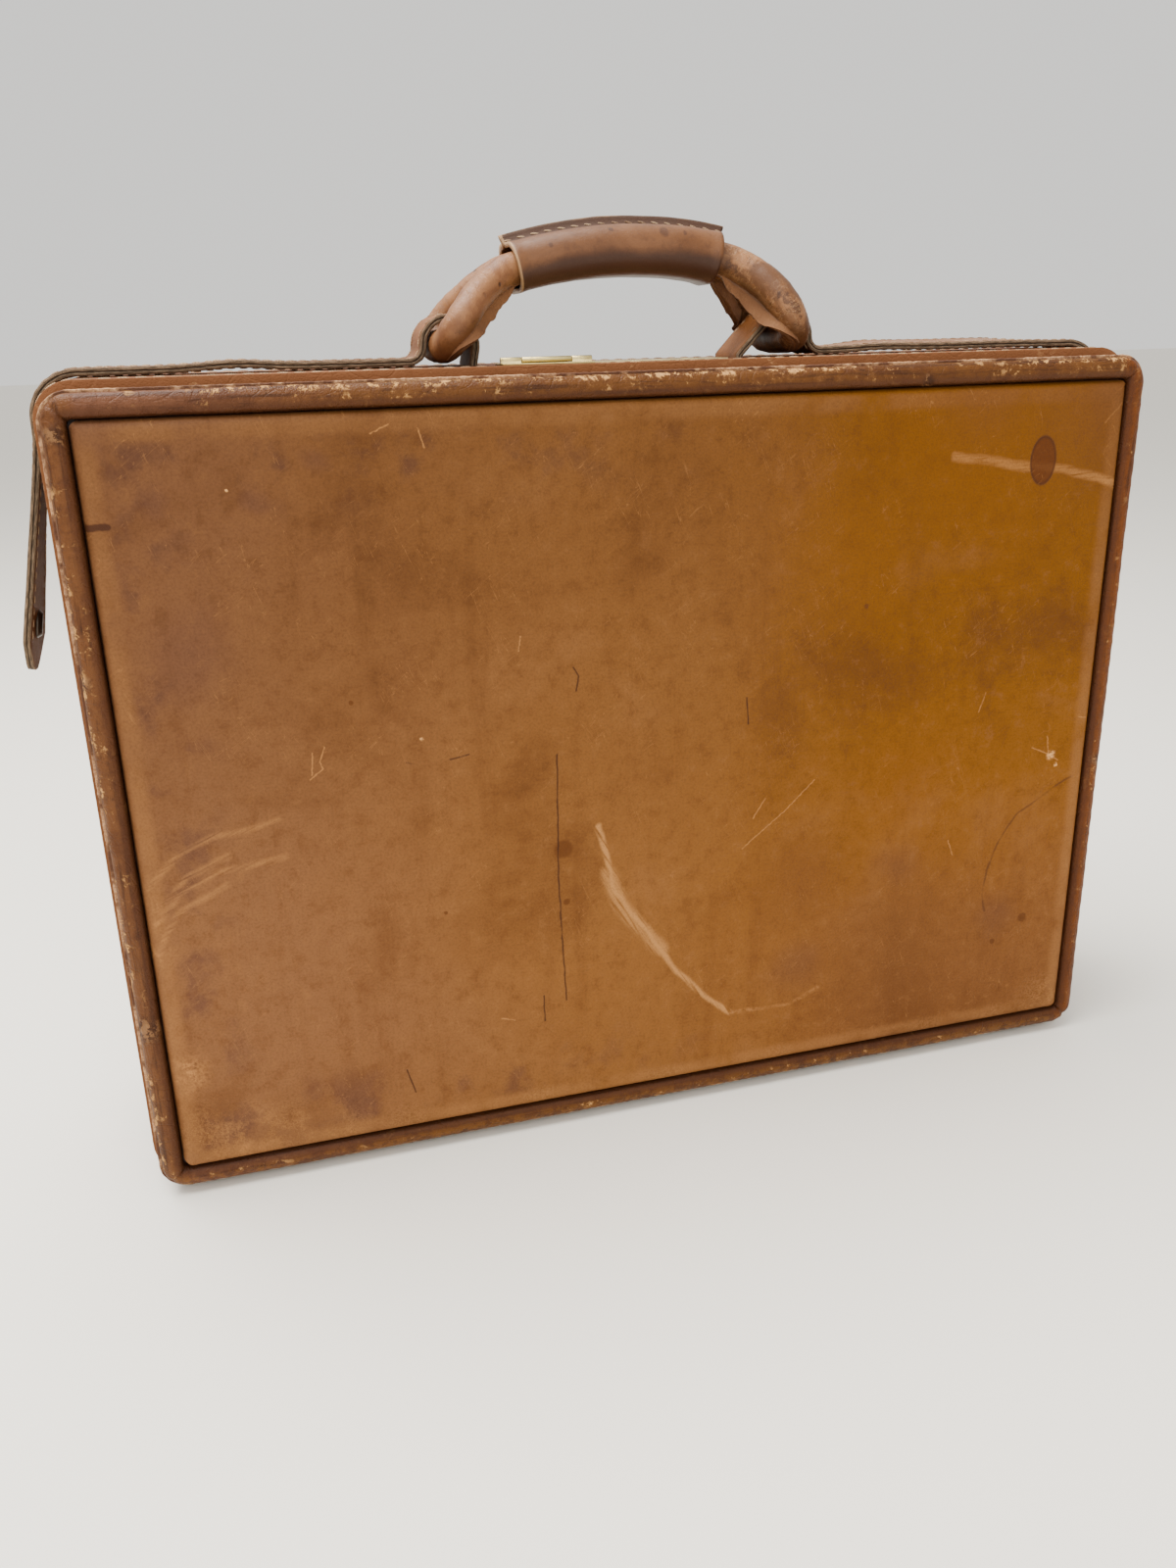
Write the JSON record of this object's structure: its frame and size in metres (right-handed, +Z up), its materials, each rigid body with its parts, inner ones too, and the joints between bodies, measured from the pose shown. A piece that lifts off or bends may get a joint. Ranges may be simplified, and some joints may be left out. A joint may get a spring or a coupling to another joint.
{
  "type": "leather briefcase",
  "caption": "Framed leather briefcase with padded faces, rolled binding, hinged lid on folding stays, dial lock, and a rolled handle held by two long snap-down straps.",
  "frame": {"origin": "on the face that the case stands on, at the middle of the case's width and depth", "axes": "+X to the right along the width, +Y back through the depth, +Z up towards the handle"},
  "size_m": [0.4966, 0.11, 0.3981],
  "materials": {
    "face_leather": "oiled saddle leather, padded, scuffed",
    "band_leather": "dark red-brown leather, worn at the edges",
    "strap_leather": "two sewn plies with raw edges",
    "roll_leather": "rolled leather, worn and creased",
    "grip_leather": "smooth tan leather, sewn on top",
    "pocket_leather": "smooth thin leather",
    "lining_cloth": "woven cloth",
    "shell_wood": "planed softwood",
    "board_wood": "thin plywood",
    "lock_brass": "brushed, tarnished",
    "inner_brass": "satin",
    "dial_brass": "milled, with plain notches",
    "stay_brass": "rolled strip",
    "snap_metal": "blackened"
  },
  "bodies": {
    "case_body": {"body_frame": "shell_wood", "body_band_leather": "band_leather", "rear_binding": "band_leather", "rear_board": "board_wood", "rear_panel": "face_leather", "body_lining": "lining_cloth", "closing_lip": "lining_cloth", "body_hinge_leaf": "inner_brass", "hinge_pin": "inner_brass", "lock_case": "inner_brass", "lock_plate": "lock_brass", "lock_screws": "lock_brass", "dial_axle": "inner_brass", "left_handle_strap": "strap_leather", "right_handle_strap": "strap_leather", "left_snap_stud": "snap_metal", "right_snap_stud": "snap_metal", "body_stay_rivets": "inner_brass"},
    "lid": {"lid_frame": "shell_wood", "lid_band_leather": "band_leather", "front_binding": "band_leather", "front_board": "board_wood", "front_panel": "face_leather", "lid_lining": "lining_cloth", "lid_hinge_leaf": "inner_brass", "hasp_plate": "lock_brass", "hasp_pin": "lock_brass", "hasp_screws": "lock_brass", "lid_stay_rivets": "inner_brass", "document_pocket": "pocket_leather", "pen_loops": "pocket_leather"},
    "handle": {"handle_roll": "roll_leather", "handle_grip": "grip_leather"},
    "left_tail": {"left_strap_tail": "strap_leather", "left_snap_socket": "snap_metal"},
    "right_tail": {"right_strap_tail": "strap_leather", "right_snap_socket": "snap_metal"},
    "first_dial": {"dial_1": "dial_brass"},
    "second_dial": {"dial_2": "dial_brass"},
    "third_dial": {"dial_3": "dial_brass"},
    "release": {"release_button": "lock_brass"},
    "hasp": {"hasp_tongue": "lock_brass"},
    "left_body_arm": {"left_body_stay": "stay_brass"},
    "left_lid_arm": {"left_lid_stay": "stay_brass"},
    "right_body_arm": {"right_body_stay": "stay_brass"},
    "right_lid_arm": {"right_lid_stay": "stay_brass"}
  },
  "joints": [
    {"name": "lid_hinge", "type": "hinge", "parent": "case_body", "child": "lid", "pos_m": [0, -0.015, 0.0026], "axis": [1, 0, 0], "range_deg": [0, 90]},
    {"name": "handle_tilt", "type": "hinge", "parent": "case_body", "child": "handle", "pos_m": [0, 0, 0.348], "axis": [1, 0, 0], "range_deg": [-7, 7]},
    {"name": "left_tail_swing", "type": "hinge", "parent": "case_body", "child": "left_tail", "pos_m": [-0.2346, 0, 0.3229], "axis": [0, 1, 0], "range_deg": [-8.2, 79]},
    {"name": "right_tail_swing", "type": "hinge", "parent": "case_body", "child": "right_tail", "pos_m": [0.2346, 0, 0.3229], "axis": [0, -1, 0], "range_deg": [0, 87]},
    {"name": "first_dial_turn", "type": "hinge", "parent": "case_body", "child": "first_dial", "pos_m": [0.004, -0.003, 0.3353], "axis": [1, 0, 0], "continuous": true},
    {"name": "second_dial_turn", "type": "hinge", "parent": "case_body", "child": "second_dial", "pos_m": [0.013, -0.003, 0.3353], "axis": [1, 0, 0], "continuous": true},
    {"name": "third_dial_turn", "type": "hinge", "parent": "case_body", "child": "third_dial", "pos_m": [0.022, -0.003, 0.3353], "axis": [1, 0, 0], "continuous": true},
    {"name": "release_slide", "type": "slide", "parent": "case_body", "child": "release", "axis": [1, 0, 0], "range_m": [0, 0.004], "stiffness_N_per_m": 200, "springref_m": -0.001},
    {"name": "hasp_lift", "type": "hinge", "parent": "lid", "child": "hasp", "pos_m": [-0.038, -0.0275, 0.342], "axis": [1, 0, 0], "range_deg": [0, 90]},
    {"name": "left_body_stay_turn", "type": "hinge", "parent": "case_body", "child": "left_body_arm", "pos_m": [-0.2126, 0.02, 0.1226], "axis": [1, 0, 0], "range_deg": [0, 126.1]},
    {"name": "left_lid_stay_turn", "type": "hinge", "parent": "lid", "child": "left_lid_arm", "pos_m": [-0.2152, -0.033, 0.1326], "axis": [1, 0, 0], "range_deg": [-114.9, 0]},
    {"name": "right_body_stay_turn", "type": "hinge", "parent": "case_body", "child": "right_body_arm", "pos_m": [0.2126, 0.02, 0.1226], "axis": [1, 0, 0], "range_deg": [0, 126.1]},
    {"name": "right_lid_stay_turn", "type": "hinge", "parent": "lid", "child": "right_lid_arm", "pos_m": [0.2152, -0.033, 0.1326], "axis": [1, 0, 0], "range_deg": [-114.9, 0]}
  ],
  "couplings": [
    {"joint": "left_body_stay_turn", "follows": "lid_hinge", "ratio": 1.4008},
    {"joint": "left_lid_stay_turn", "follows": "lid_hinge", "ratio": -1.2765},
    {"joint": "right_body_stay_turn", "follows": "lid_hinge", "ratio": 1.4008},
    {"joint": "right_lid_stay_turn", "follows": "lid_hinge", "ratio": -1.2765}
  ]
}
